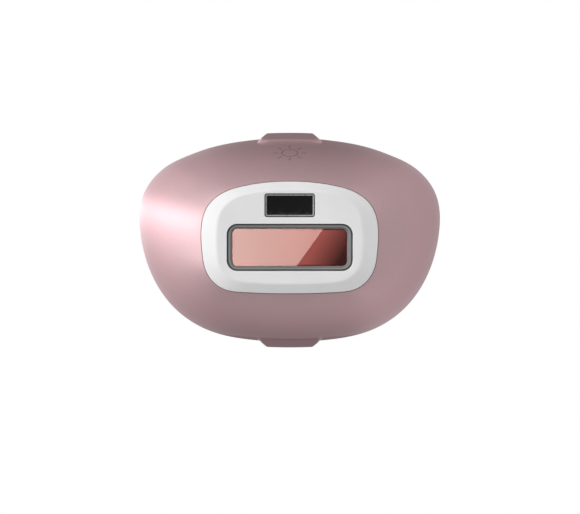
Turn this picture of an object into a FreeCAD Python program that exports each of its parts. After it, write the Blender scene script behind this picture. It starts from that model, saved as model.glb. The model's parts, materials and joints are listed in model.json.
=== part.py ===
"""Plug-on treatment head of a handheld IPL hair remover, as an assembly of separate pieces.

Frame: millimetres, +Z up, the light leaves the window towards -Y. The origin is on the optical axis,
in the plane where the rear rim of the shell meets the handset. "Depth" below is the distance in
front of that plane, so a point at depth d has y = -d.
"""

import FreeCAD
import Part
import math
import os

Vector = FreeCAD.Vector

# ---- driving dimensions -----------------------------------------------------------------------
# Half outlines as (x, z), from the top centre round the +X side to the bottom centre.
RIM = [(0, 29.2), (10.9, 28.5), (21.7, 26.4), (27.7, 24.2), (31.7, 22.3), (38.9, 14.2), (39.7, 3.4),
       (36.8, -7.1), (30.7, -16.1), (21.5, -22.1), (10.9, -24.5), (0, -25.1)]
LIP = [(0, 17.4), (6.0, 17.15), (11.85, 16.25), (17.35, 14.5), (21.7, 10.7), (23.3, 5.0),
       (23.1, -1.0), (21.8, -6.8), (17.8, -10.8), (12.0, -11.85), (6.0, -12.1), (0, -12.15)]
PLATEAU = [(0, 15.2), (5.0, 15.0), (10.1, 14.35), (14.8, 12.85), (18.2, 9.5), (19.3, 4.6),
           (19.3, -0.5), (18.4, -5.2), (15.1, -8.4), (10.1, -9.4), (5.1, -9.65), (0, -9.7)]

STATIONS = 18              # evenly spaced points on each half outline when pieces are lofted
WALL = 1.6                 # shell wall
LIP_DEPTH = 26.0           # front edge of the shell
SKIRT_DEPTH = 5.0          # the drafted wall behind the dome
SKIRT_SHARE = 0.955        # how far out the dome starts, from lip 0 to rim 1
DOME_START, DOME_END = 80.0, 32.0   # dome slope at the skirt and at the lip, degrees
DOME_SECTIONS = 6

LIP_BEVEL = 0.3
# Finger ridges: side profile (depth, z) from the rim forwards, and half width at the crease, which is
# the profile's third point. From the front both narrow from there to the same tip width.
UPPER_RIDGE = [(0, 30.5), (3.4, 30.5), (8.4, 28.75), (10.2, 27.6), (12.0, 24.5)], 8.05
LOWER_RIDGE = [(0, -26.6), (1.0, -26.6), (7.4, -24.05), (9.5, -21.6)], 8.85
RIDGE_HALF, RIDGE_ROUND = 5.95, 0.35
FRONT_DEPTH = 29.5         # flat face of the contact frame
FRAME_EDGE_DEPTH = 26.8    # outer edge of its sloping band
FRAME_GAP = 0.25           # all round, between the contact frame and the shell
FRAME_WALL, FRAME_FACE = 1.8, 2.5
# The sloping band: (share of its width, share of its height), rounded off where it meets the flat face.
BAND_PROFILE = [(0, 0), (0.05, 0.12), (0.85, 0.86), (0.95, 0.95), (1.03, 0.99), (1.08, 1.0)]
FLANGE_FRONT, FLANGE_REAR = 22.5, 21.4
FLANGE_REACH = 1.4         # how far the flange reaches behind the lip

WINDOW_HOLE = (33.2, 12.4, 2.8)     # width, height, corner radius
BEZEL = (32.6, 11.8, 2.5)
BEZEL_POCKET = (31.4, 10.9, 1.9)
WINDOW_CLEAR = (30.2, 9.8, 1.3)
BEZEL_FRONT, BEZEL_STEP, BEZEL_REAR = 28.9, 28.0, 25.6
GLASS_THICK = 1.6

SENSOR_Z = 11.1
SENSOR_HOLE = (13.3, 6.25, 0.7)
SENSOR_RING = (12.9, 5.85, 0.5)
SENSOR_LENS = (12.2, 5.1, 0.3)
SENSOR_REAR = 25.8
GUIDE = (10.0, 4.0)                 # light guide section

CHANNEL_REAR = (34.8, 13.8)         # reflector channel in its holder
CHANNEL_FRONT = (30.6, 10.2)
HOLDER_REAR, HOLDER_WALL = 5.0, 1.2
MIRROR_THICK = 0.5

CHASSIS = (14.0, 15.6)              # plate depths
COVER = (7.0, 8.6)
BOARD = (9.0, 10.0)
SWITCH_FRONT = 12.0

POSTS = [(21.6, 6.5), (21.0, -5.0)]           # guide posts, mirrored in X
POST_R, POST_END = 1.4, 13.0
BUSH_BORE_R, BUSH_R, BUSH_FLANGE_R = 1.46, 2.0, 2.4
SPRING_R, SPRING_WIRE = 1.95, 0.34
SCREWS = [(29.0, 9.0), (24.0, -10.0)]         # case screws, mirrored in X
SCREW_R, SCREW_LENGTH, PILLAR_R = 0.95, 11.0, 2.1

CLIP_Z = (-2.0, 5.0)
CLIP_THICK = 0.4
CLIP_BEND = (33.6, 6.6)             # x and depth of the bend that the arm flexes about
RIVET_X, RIVET_Z = 30.2, 1.5
BLOCK_X, BLOCK_Z = 9.0, (-14.6, -10.8)
BLADES, BLADE_PITCH, BLADE_WIDTH, BLADE_THICK = 6, 2.5, 1.2, 0.25
FAR = 60.0                          # larger than the part, for cutting


# ---- shape helpers ----------------------------------------------------------------------------
def at(x, depth, z):
    return Vector(x, -depth, z)


def closed_curve(half, depth=0.0, knots=None):
    """Smooth closed curve through a half outline and its mirror image."""
    ring = [at(x, depth, z) for x, z in half + [(-x, z) for x, z in half[-2:0:-1]]]
    curve = Part.BSplineCurve()
    if knots:
        curve.interpolate(Points=ring, PeriodicFlag=True, Parameters=knots)
    else:
        curve.interpolate(Points=ring, PeriodicFlag=True)
    return curve


def evenly(half):
    """The same half outline as evenly spaced points, so that outlines match point for point."""
    ring = closed_curve(half).toShape().discretize(Number=2 * STATIONS + 1)
    points = [(p.x, p.z) for p in ring[:STATIONS + 1]]
    return [(0.0, points[0][1])] + points[1:-1] + [(0.0, points[-1][1])]


EVEN_KNOTS = [float(i) for i in range(2 * STATIONS + 1)]
QUARTERS = [EVEN_KNOTS[i * STATIONS // 2] for i in range(5)]
RIM, LIP, PLATEAU = evenly(RIM), evenly(LIP), evenly(PLATEAU)


def even_curve(half, depth=0.0):
    return closed_curve(half, depth, EVEN_KNOTS)


def outline_wire(half, depth):
    """The closed curve as a wire of four edges."""
    curve = even_curve(half, depth)
    return Part.Wire([curve.toShape(a, b) for a, b in zip(QUARTERS, QUARTERS[1:])])


def grown(half, distance):
    """The half outline moved outwards, square to itself."""
    curve = even_curve(half)
    moved = []
    for (x, z), knot in zip(half, EVEN_KNOTS):
        along = curve.tangent(knot)[0]
        out = Vector(-along.z, 0, along.x)
        if out.dot(Vector(x, 0, z)) < 0:
            out = out * -1
        moved.append((x + out.x * distance if x else 0, z + out.z * distance))
    return moved


def between(start, end, share):
    return [(a[0] + (b[0] - a[0]) * share, a[1] + (b[1] - a[1]) * share) for a, b in zip(start, end)]


def outline_prism(half, rear, front):
    return Part.Face(outline_wire(half, rear)).extrude(Vector(0, rear - front, 0))


def loft(halves_and_depths, ruled=False):
    return Part.makeLoft([outline_wire(half, depth) for half, depth in halves_and_depths], True, ruled)


def box(x0, x1, rear, front, z0, z1):
    return Part.makeBox(x1 - x0, front - rear, z1 - z0, at(x0, front, z0))


def rod(x, z, radius, rear, front):
    return Part.makeCylinder(radius, front - rear, at(x, rear, z), Vector(0, -1, 0))


def rounded(width, height, radius, rear, front, z=0.0):
    """Rounded rectangular bar along Y."""
    body = box(-width / 2, width / 2, rear, front, z - height / 2, z + height / 2)
    corners = [e for e in body.Edges if abs(e.tangentAt(e.FirstParameter).y) > 0.99]
    return body.makeFillet(radius, corners)


def rectangle(width, height, depth, z=0.0):
    w, h = width / 2, height / 2
    points = [at(x, depth, z + dz) for x, dz in ((-w, -h), (w, -h), (w, h), (-w, h), (-w, -h))]
    return Part.makePolygon(points)


def taper(rear_size, rear, front_size, front):
    return Part.makeLoft([rectangle(*rear_size, rear), rectangle(*front_size, front)], True, True)


def wedge(rear_box, rear, front_box, front):
    """Six-sided solid between two rectangles (x0, x1, z0, z1), one at each depth."""
    wires = []
    for (x0, x1, z0, z1), depth in ((rear_box, rear), (front_box, front)):
        corners = ((x0, z0), (x1, z0), (x1, z1), (x0, z1), (x0, z0))
        wires.append(Part.makePolygon([at(x, depth, z) for x, z in corners]))
    return Part.makeLoft(wires, True, True)


def ribbon(path, thick, z0, z1):
    """Bent strip: path holds (x, depth) points along its middle."""
    sides = ([], [])
    for i, (x, d) in enumerate(path):
        before = path[max(i - 1, 0)]
        after = path[min(i + 1, len(path) - 1)]
        runs = [(b[0] - a[0], b[1] - a[1]) for a, b in ((before, (x, d)), ((x, d), after)) if a != b]
        normals = [(-dd / math.hypot(dx, dd), dx / math.hypot(dx, dd)) for dx, dd in runs]
        nx, nd = (sum(n[k] for n in normals) / len(normals) for k in (0, 1))
        stretch = thick / 2 / (nx * nx + nd * nd)
        sides[0].append(at(x + nx * stretch, d + nd * stretch, z0))
        sides[1].append(at(x - nx * stretch, d - nd * stretch, z0))
    loop = sides[0] + sides[1][::-1]
    return Part.Face(Part.makePolygon(loop + loop[:1])).extrude(Vector(0, 0, z1 - z0))


def fused(shapes):
    first, rest = shapes[0], shapes[1:]
    return first.fuse(rest).removeSplitter() if rest else first


def mirrored(shape):
    return shape.mirror(Vector(0, 0, 0), Vector(1, 0, 0))


def both(shape):
    return [shape, mirrored(shape)]


def on_both_sides(places):
    return [(side * x, z) for x, z in places for side in (1, -1)]


# ---- the shell and what follows it -------------------------------------------------------------
def dome_sections():
    """(share from lip to rim, depth, slope in degrees), from the rim to the lip."""
    sections = [(1.0, 0.0, 86.0)]
    sin0, cos0 = (f(math.radians(DOME_START)) for f in (math.sin, math.cos))
    sin1, cos1 = (f(math.radians(DOME_END)) for f in (math.sin, math.cos))
    for i in range(DOME_SECTIONS):
        slope = DOME_START + (DOME_END - DOME_START) * i / (DOME_SECTIONS - 1)
        s, c = math.sin(math.radians(slope)), math.cos(math.radians(slope))
        share = SKIRT_SHARE * (s - sin1) / (sin0 - sin1)
        depth = SKIRT_DEPTH + (LIP_DEPTH - SKIRT_DEPTH) * (c - cos0) / (cos1 - cos0)
        sections.append((share, depth, slope))
    return sections


def shell_volume(inset, rear=0.0):
    """The solid inside the shell's outer surface, moved in by an even distance."""
    sections = []
    for share, depth, slope in dome_sections():
        half = between(LIP, RIM, share)
        angle = math.radians(slope)
        sections.append((grown(half, -inset * math.sin(angle)), depth - inset * math.cos(angle)))
    if inset:
        sections[0] = (sections[0][0], rear)
    return loft(sections)


def grip_ridge(profile, crease_half):
    """A side profile crossed with a front one, with its clear edges rounded."""
    tip_z, crease_z, root_z = profile[0][1], profile[2][1], profile[-1][1]
    side = [(0, root_z)] + profile
    side_face = Part.Face(Part.makePolygon([at(-FAR, d, z) for d, z in side + side[:1]]))
    half = [(crease_half + 0.05, root_z), (crease_half, crease_z), (RIDGE_HALF, tip_z)]
    front = half + [(-x, z) for x, z in half[::-1]]
    front_face = Part.Face(Part.makePolygon([at(x, 0, z) for x, z in front + front[:1]]))
    ridge = side_face.extrude(Vector(2 * FAR, 0, 0)).common(front_face.extrude(Vector(0, -FAR, 0)))
    soft = []
    for edge in ridge.Edges:
        heights = [abs(v.Z) - abs(crease_z) for v in edge.Vertexes]
        if min(heights) > -0.01 and max(heights) > 0.01 and max(abs(v.Y) for v in edge.Vertexes) > 0.01:
            soft.append(edge)
    return ridge.makeFillet(RIDGE_ROUND, soft)


def outer_shell():
    body = shell_volume(0)
    body = fused([body, grip_ridge(*UPPER_RIDGE), grip_ridge(*LOWER_RIDGE)])
    bosses = [rod(x, z, PILLAR_R, CHASSIS[1], LIP_DEPTH).common(shell_volume(WALL / 2))
              for x, z in on_both_sides(SCREWS)]
    body = body.cut(shell_volume(WALL))
    body = body.fuse(bosses)
    pilot_end = COVER[0] + SCREW_LENGTH + 0.6
    pilots = [rod(x, z, SCREW_R, CHASSIS[1] - 1, pilot_end) for x, z in on_both_sides(SCREWS)]
    opening = outline_prism(grown(LIP, FRAME_GAP / 2), LIP_DEPTH - 6, LIP_DEPTH + 1)
    bevel = loft([(grown(LIP, FRAME_GAP / 2), LIP_DEPTH - 2 * LIP_BEVEL),
                  (grown(LIP, FRAME_GAP / 2 + 2 * LIP_BEVEL), LIP_DEPTH)], ruled=True)
    return body.cut(pilots + [opening, bevel])


def contact_frame():
    edge = grown(LIP, -FRAME_GAP / 2)
    band = loft([(between(edge, PLATEAU, share), FRAME_EDGE_DEPTH + (FRONT_DEPTH - FRAME_EDGE_DEPTH) * rise)
                 for share, rise in BAND_PROFILE], ruled=True)
    skirt = outline_prism(edge, FLANGE_REAR, FRAME_EDGE_DEPTH)
    flange = outline_prism(grown(edge, FLANGE_REACH), FLANGE_REAR, FLANGE_FRONT)
    body = fused([band, skirt, flange])
    body = body.cut(outline_prism(grown(edge, -FRAME_WALL), FLANGE_REAR - 1, FRONT_DEPTH - FRAME_FACE))
    pads = [rod(x, z, BUSH_FLANGE_R, FLANGE_REAR, FLANGE_FRONT) for x, z in on_both_sides(POSTS)]
    posts = [rod(x, z, POST_R, POST_END, FLANGE_FRONT) for x, z in on_both_sides(POSTS)]
    body = fused([body] + pads + posts)
    window = rounded(*WINDOW_HOLE, FLANGE_REAR, FRONT_DEPTH + 1)
    sensor = rounded(*SENSOR_HOLE, FLANGE_REAR, FRONT_DEPTH + 1, SENSOR_Z)
    return body.cut([window, sensor])


# ---- window and sensor -------------------------------------------------------------------------
def window_bezel():
    body = rounded(*BEZEL, BEZEL_REAR, BEZEL_FRONT)
    body = body.cut(rounded(*BEZEL_POCKET, BEZEL_REAR - 1, BEZEL_STEP))
    body = body.cut(rounded(*WINDOW_CLEAR, BEZEL_STEP - 1, BEZEL_FRONT + 1))
    front = [e for e in body.Edges if abs(e.BoundBox.YMin + BEZEL_FRONT) < 0.01
             and abs(e.BoundBox.YMax + BEZEL_FRONT) < 0.01]
    inner = [e for e in front if max(abs(e.BoundBox.XMax), abs(e.BoundBox.XMin)) < WINDOW_CLEAR[0] / 2 + 0.01
             and max(abs(e.BoundBox.ZMax), abs(e.BoundBox.ZMin)) < WINDOW_CLEAR[1] / 2 + 0.01]
    outer = [e for e in front if not any(e.isSame(i) for i in inner)]
    return body.makeChamfer(0.45, inner).makeFillet(0.15, outer) if outer else body


def filter_glass():
    width, height, radius = (s - 0.2 for s in BEZEL_POCKET)
    return rounded(width, height, radius, BEZEL_STEP - GLASS_THICK, BEZEL_STEP)


def glass_gasket():
    width, height, radius = (s - 0.2 for s in BEZEL_POCKET)
    body = rounded(width, height, radius, BEZEL_REAR, BEZEL_STEP - GLASS_THICK)
    return body.cut(rounded(width - 0.8, height - 0.8, radius - 0.4, BEZEL_REAR - 1, BEZEL_STEP))


def sensor_bezel():
    body = rounded(*SENSOR_RING, SENSOR_REAR, BEZEL_FRONT, SENSOR_Z)
    return body.cut(rounded(*SENSOR_LENS, SENSOR_REAR - 1, BEZEL_FRONT + 1, SENSOR_Z))


def sensor_lens():
    width, height, radius = SENSOR_LENS
    body = rounded(width - 0.04, height - 0.04, radius, SENSOR_REAR, BEZEL_FRONT - 0.3, SENSOR_Z)
    front = [e for e in body.Edges if e.BoundBox.YMax < 0.32 - BEZEL_FRONT]
    return body.makeFillet(0.15, front)


def sensor_light_guide():
    width, height = GUIDE
    bar = rounded(width, height, 0.5, COVER[0] + 0.4, SENSOR_REAR, SENSOR_Z)
    flange = rounded(width + 2, height + 1.2, 0.5, 12.6, CHASSIS[0], SENSOR_Z)
    return fused([bar, flange])


# ---- reflector ----------------------------------------------------------------------------------
def channel_size(depth, extra=0.0):
    """Section of the reflector channel at a depth, grown by extra all round."""
    share = (depth - HOLDER_REAR) / (BEZEL_REAR - HOLDER_REAR)
    return tuple(r + (f - r) * share + 2 * extra for r, f in zip(CHANNEL_REAR, CHANNEL_FRONT))


def reflector_holder():
    body = taper(channel_size(HOLDER_REAR, HOLDER_WALL), HOLDER_REAR,
                 channel_size(BEZEL_REAR, HOLDER_WALL), BEZEL_REAR)
    ears = both(box(17.2, 24.8, 12.2, CHASSIS[0], -1.6, 3.2))
    body = fused([body] + ears)
    channel = taper(channel_size(HOLDER_REAR - 1), HOLDER_REAR - 1,
                    channel_size(BEZEL_REAR + 1), BEZEL_REAR + 1)
    holes = [rod(x, 0.8, 0.9, 10, 16) for x in (22.4, -22.4)]
    return body.cut([channel] + holes)


def mirror_ends(depth):
    """Half width and half height of the mirror box, outside and inside, at a depth."""
    w, h = (s / 2 - 0.03 for s in channel_size(depth))
    return w, h, w - MIRROR_THICK, h - MIRROR_THICK


def reflector_plate(side):
    """Upper (side 1) or lower (side -1) mirror, between the two end mirrors."""
    rear, front = 5.6, BEZEL_REAR - 0.2
    boxes = []
    for depth in (rear, front):
        _, h, inner_w, inner_h = mirror_ends(depth)
        z0, z1 = sorted((side * h, side * inner_h))
        boxes.append((-inner_w + 0.03, inner_w - 0.03, z0, z1))
    return wedge(boxes[0], rear, boxes[1], front)


def reflector_end_plates():
    rear, front = 5.6, BEZEL_REAR - 0.2
    boxes = []
    for depth in (rear, front):
        w, h, inner_w, _ = mirror_ends(depth)
        boxes.append((inner_w, w, -h, h))
    return Part.makeCompound(both(wedge(boxes[0], rear, boxes[1], front)))


def mouth_seal():
    width, height = channel_size(HOLDER_REAR, HOLDER_WALL)
    body = rounded(width, height, 1.4, HOLDER_REAR - 0.8, HOLDER_REAR)
    return body.cut(rounded(width - 3.0, height - 3.0, 0.8, HOLDER_REAR - 2, HOLDER_REAR + 1))


# ---- inner structure ----------------------------------------------------------------------------
def inner_plate(depths, clearance):
    rear, front = depths
    return box(-FAR, FAR, rear, front, -FAR, FAR).common(shell_volume(WALL + clearance, -1.0))


def chassis():
    body = inner_plate(CHASSIS, 0.3)
    pillars = [rod(x, z, PILLAR_R, COVER[1], CHASSIS[0]) for x, z in on_both_sides(SCREWS)]
    board_posts = [rod(x, -11.2, 1.6, BOARD[1], CHASSIS[0]) for x in (14.0, -14.0)]
    tower = rounded(14.0, 7.0, 0.8, CHASSIS[1], SENSOR_REAR, SENSOR_Z)
    ear_bosses = [rod(x, 0.8, 1.9, CHASSIS[1], CHASSIS[1] + 3) for x in (22.4, -22.4)]
    body = fused([body, tower] + pillars + board_posts + ear_bosses)
    holder_hole = rounded(*channel_size(CHASSIS[0], HOLDER_WALL + 0.15), 0.5, CHASSIS[0] - 1, CHASSIS[1] + 1)
    guide_hole = rounded(GUIDE[0] + 0.2, GUIDE[1] + 0.2, 0.5, CHASSIS[0] - 1, SENSOR_REAR + 1, SENSOR_Z)
    bushes = [rod(x, z, BUSH_R, CHASSIS[0] - 1, CHASSIS[1] + 1) for x, z in on_both_sides(POSTS)]
    screws = [rod(x, z, SCREW_R + 0.2, 0, 20) for x, z in on_both_sides(SCREWS)]
    board = [rod(x, -11.2, 0.7, 9, 13.5) for x in (14.0, -14.0)]
    ears = [rod(x, 0.8, 0.7, CHASSIS[0] - 1, CHASSIS[1] + 2.4) for x in (22.4, -22.4)]
    slots = [rounded(26.0, 3.4, 1.5, CHASSIS[0] - 1, CHASSIS[1] + 1, -16.0)]
    return body.cut([holder_hole, guide_hole] + bushes + screws + board + ears + slots)


def rear_cover():
    body = inner_plate(COVER, 0.25)
    collar = rounded(12.6, 6.1, 0.6, COVER[1], 12.55, SENSOR_Z)
    ribs = [box(x - 0.5, x + 0.5, COVER[1], 13.9, 3.4, 9.5) for x in (32.4, -32.4)]
    body = fused([body, collar] + ribs)
    hole = rounded(*channel_size(COVER[0], HOLDER_WALL + 0.2), 0.6, COVER[0] - 1, COVER[1] + 1)
    guide = rounded(GUIDE[0] + 0.3, GUIDE[1] + 0.3, 0.6, COVER[0] - 1, 13, SENSOR_Z)
    screws = [rod(x, z, SCREW_R + 0.15, 0, 10) for x, z in on_both_sides(SCREWS)]
    access = [rod(x, -11.2, 1.9, 0, 10) for x in (14.0, -14.0)]
    rivets = both(rod(RIVET_X, RIVET_Z, 0.8, 0, 10))
    slot = box(-BLOCK_X - 0.3, BLOCK_X + 0.3, 0, 10, BLOCK_Z[0] - 0.3, BLOCK_Z[1] + 0.6)
    return body.cut([hole, guide, slot] + screws + access + rivets)


def guide_bushes():
    bushes = []
    for x, z in on_both_sides(POSTS):
        sleeve = rod(x, z, BUSH_R, 13.4, CHASSIS[1])
        flange = rod(x, z, BUSH_FLANGE_R, CHASSIS[1], CHASSIS[1] + 0.4)
        bushes.append(sleeve.fuse(flange).removeSplitter().cut(rod(x, z, BUSH_BORE_R, 10, 20)))
    return Part.makeCompound(bushes)


def frame_springs():
    """Four coil springs that push the contact frame out."""
    rear = CHASSIS[1] + 0.4 + SPRING_WIRE / 2 + 0.03
    front = FLANGE_REAR - SPRING_WIRE / 2 - 0.03
    height = front - rear
    turns = 4.5
    springs = []
    for x, z in on_both_sides(POSTS):
        helix = Part.makeHelix(height / turns, height, SPRING_R)
        corners = [math.radians(30 * i) for i in range(13)]
        start = Part.makePolygon([Vector(SPRING_R + SPRING_WIRE / 2 * math.cos(a), 0,
                                         SPRING_WIRE / 2 * math.sin(a)) for a in corners])
        coil = Part.Wire(helix).makePipeShell([start], True, True)
        coil.rotate(Vector(0, 0, 0), Vector(1, 0, 0), 90)
        coil.translate(at(x, rear, z))
        springs.append(coil)
    return Part.makeCompound(springs)


# ---- electrical ---------------------------------------------------------------------------------
def switch_board():
    rear, front = BOARD
    body = box(-24.2, 24.2, rear, front, -7.6, 10.0)
    body = fused([body, box(-20.6, 20.6, rear, front, -15.2, -7.6)])
    corners = [e for e in body.Edges if abs(e.tangentAt(e.FirstParameter).y) > 0.99]
    body = body.makeFillet(1.0, corners)
    width, height = channel_size(rear, HOLDER_WALL + 0.3)
    notch = box(-width / 2, width / 2, 0, 20, -height / 2, FAR)
    holes = [rod(x, -11.2, 0.9, 0, 20) for x in (14.0, -14.0)]
    leads = [box(x - 0.3, x + 0.3, 0, 20, BLOCK_Z[1] - 0.5, BLOCK_Z[1] + 0.1) for x in blade_places()]
    return body.cut([notch] + holes + leads)


def contact_switches():
    bodies = []
    for x, z in on_both_sides(POSTS):
        case = box(x - 2.0, x + 2.0, BOARD[1], SWITCH_FRONT, z - 2.0, z + 2.0)
        legs = [box(x - 2.5, x + 2.5, BOARD[1], BOARD[1] + 0.3, z + dz - 0.4, z + dz + 0.4) for dz in (-1.2, 1.2)]
        bodies.append(fused([case] + legs).cut(rod(x, z, 0.78, 10.1, 13)))
    return Part.makeCompound(bodies)


def switch_plungers():
    return Part.makeCompound([rod(x, z, 0.7, 11.0, POST_END - 0.05) for x, z in on_both_sides(POSTS)])


def board_components():
    """Identification chip, resistors and capacitors on the board's front face."""
    front = BOARD[1]
    chip = box(-2.4, 2.4, front, front + 1.0, -14.2, -12.4)
    pins = [box(x - 0.2, x + 0.2, front, front + 0.4, z - 0.3, z + 0.3)
            for x in (-1.8, -0.6, 0.6, 1.8) for z in (-14.5, -12.1)]
    small = [box(x - 0.8, x + 0.8, front, front + 0.5, z - 0.4, z + 0.4)
             for x, z in ((-8, -13.2), (-8, -9.9), (8, -13.2), (8, -9.9))]
    return Part.makeCompound([fused([chip] + pins)] + small)


def blade_places():
    return [(i - (BLADES - 1) / 2) * BLADE_PITCH for i in range(BLADES)]


def contact_block():
    z0, z1 = BLOCK_Z
    body = box(-BLOCK_X, BLOCK_X, 2.5, BOARD[0], z0, z1)
    nose = [e for e in body.Edges if e.BoundBox.YMin > -2.6]
    body = body.makeChamfer(0.5, nose)
    grooves = [box(x - BLADE_WIDTH / 2 - 0.05, x + BLADE_WIDTH / 2 + 0.05, 2.9, 10, z1 - 0.5, z1 + 1)
               for x in blade_places()]
    return body.cut(grooves)


def contact_blades():
    z1 = BLOCK_Z[1]
    blades = []
    for x in blade_places():
        blade = box(x - BLADE_WIDTH / 2, x + BLADE_WIDTH / 2, 3.0, BOARD[0] - 0.1, z1 - 0.5, z1 - 0.5 + BLADE_THICK)
        bump = Part.makeCylinder(1.0, BLADE_WIDTH, at(x - BLADE_WIDTH / 2, 4.6, z1 - 0.85), Vector(1, 0, 0))
        bump = bump.common(box(x - 1, x + 1, 2, 7, z1 - 0.5, z1 + 1))
        lead = box(x - 0.2, x + 0.2, BOARD[0] - 0.2, BOARD[1] + 0.5, z1 - 0.5, z1 - 0.1)
        blades.append(fused([blade, bump, lead]))
    return Part.makeCompound(blades)


# ---- clips and fasteners ------------------------------------------------------------------------
def clip_feet():
    """The fixed legs of the two retaining clips, riveted to the cover."""
    bend_x = CLIP_BEND[0]
    foot = box(28.2, bend_x - 0.25, COVER[0] - CLIP_THICK, COVER[0], *CLIP_Z)
    foot = foot.cut(rod(RIVET_X, RIVET_Z, 0.8, 0, 10))
    return Part.makeCompound(both(foot))


def clip_arm(side):
    """The springing arm of a clip: it hooks behind a groove on the handset's nose."""
    bend_x = CLIP_BEND[0]
    steps = [(0, 6.7), (0, 5.3), (-0.5, 4.5), (-1.2, 3.9), (-1.4, 3.5), (-1.3, 3.1), (0.2, 1.5), (1.0, 0.7)]
    arm = ribbon([(bend_x + dx, depth) for dx, depth in steps], CLIP_THICK, *CLIP_Z)
    return arm if side > 0 else mirrored(arm)


def clip_rivets():
    head = rod(RIVET_X, RIVET_Z, 1.5, COVER[0] - CLIP_THICK - 0.7, COVER[0] - CLIP_THICK)
    dome = [e for e in head.Edges if e.BoundBox.YMin > -(COVER[0] - CLIP_THICK - 0.7) - 0.01]
    head = head.makeFillet(0.35, dome)
    shank = rod(RIVET_X, RIVET_Z, 0.8, COVER[0] - CLIP_THICK, COVER[1])
    upset = rod(RIVET_X, RIVET_Z, 1.3, COVER[1], COVER[1] + 0.4)
    return Part.makeCompound(both(fused([head, shank, upset])))


def screw(x, z, head_r, head_high, shank_r, seat, length):
    """Pan-head screw driven in from behind, with a cross recess."""
    head = rod(x, z, head_r, seat - head_high, seat)
    head = head.makeFillet(head_high * 0.45, [e for e in head.Edges if e.BoundBox.YMin > 0.01 - seat])
    shank = rod(x, z, shank_r, seat, seat + length)
    bottom = seat - head_high
    cross = [box(x - a, x + a, bottom - 1, bottom + head_high * 0.55, z - b, z + b)
             for a, b in ((head_r * 0.6, head_r * 0.14), (head_r * 0.14, head_r * 0.6))]
    return fused([head, shank]).cut(cross)


def case_screws():
    return Part.makeCompound([screw(x, z, 1.85, 1.2, SCREW_R, COVER[0], SCREW_LENGTH)
                              for x, z in on_both_sides(SCREWS)])


def board_screws():
    return Part.makeCompound([screw(x, -11.2, 1.5, 0.8, 0.7, BOARD[0], 4.2) for x in (14.0, -14.0)])


def holder_screws():
    return Part.makeCompound([screw(x, 0.8, 1.6, 0.9, 0.7, 12.2, 5.2) for x in (22.4, -22.4)])


PIECES = {
    "outer_shell": outer_shell,
    "contact_frame": contact_frame,
    "window_bezel": window_bezel,
    "filter_glass": filter_glass,
    "glass_gasket": glass_gasket,
    "sensor_bezel": sensor_bezel,
    "sensor_lens": sensor_lens,
    "sensor_light_guide": sensor_light_guide,
    "reflector_holder": reflector_holder,
    "reflector_upper_plate": lambda: reflector_plate(1),
    "reflector_lower_plate": lambda: reflector_plate(-1),
    "reflector_end_plates": reflector_end_plates,
    "mouth_seal": mouth_seal,
    "chassis": chassis,
    "rear_cover": rear_cover,
    "guide_bushes": guide_bushes,
    "frame_springs": frame_springs,
    "switch_board": switch_board,
    "contact_switches": contact_switches,
    "switch_plungers": switch_plungers,
    "board_components": board_components,
    "contact_block": contact_block,
    "contact_blades": contact_blades,
    "clip_feet": clip_feet,
    "clip_arm_left": lambda: clip_arm(-1),
    "clip_arm_right": lambda: clip_arm(1),
    "clip_rivets": clip_rivets,
    "case_screws": case_screws,
    "board_screws": board_screws,
    "holder_screws": holder_screws,
}

os.makedirs("parts", exist_ok=True)
for name, make in PIECES.items():
    shape = make()
    sound = shape.isValid() and all(s.isClosed() and s.Volume > 0 for s in shape.Solids)
    print(f"{name}: {len(shape.Solids)} solids, {shape.Volume:.1f} mm3, {'sound' if sound else 'NOT SOUND'}")
    shape.exportStep(f"parts/{name}.step")
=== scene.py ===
"""Looks of a plug-on treatment head for an IPL hair remover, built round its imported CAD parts.

Row frame in metres: +Z up, the light leaves towards -Y, the rear rim lies in the plane y = 0.
Depth is the distance in front of that plane. Shapes are worked out in millimetres and scaled once.
"""

import json
import math

import bmesh
import bpy
import numpy as np
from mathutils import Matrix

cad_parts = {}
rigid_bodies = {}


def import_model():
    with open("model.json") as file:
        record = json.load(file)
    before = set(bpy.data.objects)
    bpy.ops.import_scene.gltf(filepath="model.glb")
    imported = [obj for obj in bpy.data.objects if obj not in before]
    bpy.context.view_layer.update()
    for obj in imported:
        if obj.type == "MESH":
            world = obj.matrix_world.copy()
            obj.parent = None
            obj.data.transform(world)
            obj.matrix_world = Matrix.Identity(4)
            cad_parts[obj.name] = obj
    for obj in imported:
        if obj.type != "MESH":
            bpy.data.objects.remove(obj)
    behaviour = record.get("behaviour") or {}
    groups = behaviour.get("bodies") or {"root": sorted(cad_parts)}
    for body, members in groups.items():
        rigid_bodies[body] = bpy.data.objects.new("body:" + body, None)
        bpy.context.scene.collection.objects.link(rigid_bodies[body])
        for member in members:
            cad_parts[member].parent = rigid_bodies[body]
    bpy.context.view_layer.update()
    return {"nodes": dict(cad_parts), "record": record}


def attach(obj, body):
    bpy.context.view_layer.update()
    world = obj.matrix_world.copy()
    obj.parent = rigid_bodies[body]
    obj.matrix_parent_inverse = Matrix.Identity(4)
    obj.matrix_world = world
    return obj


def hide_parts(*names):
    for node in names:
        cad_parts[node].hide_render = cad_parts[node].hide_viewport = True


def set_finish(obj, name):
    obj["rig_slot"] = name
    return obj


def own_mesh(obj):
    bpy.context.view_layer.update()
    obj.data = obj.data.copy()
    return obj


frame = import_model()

MM = 0.001
SHARP = math.radians(35)   # edges that bend more than this are shaded crisp

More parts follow.
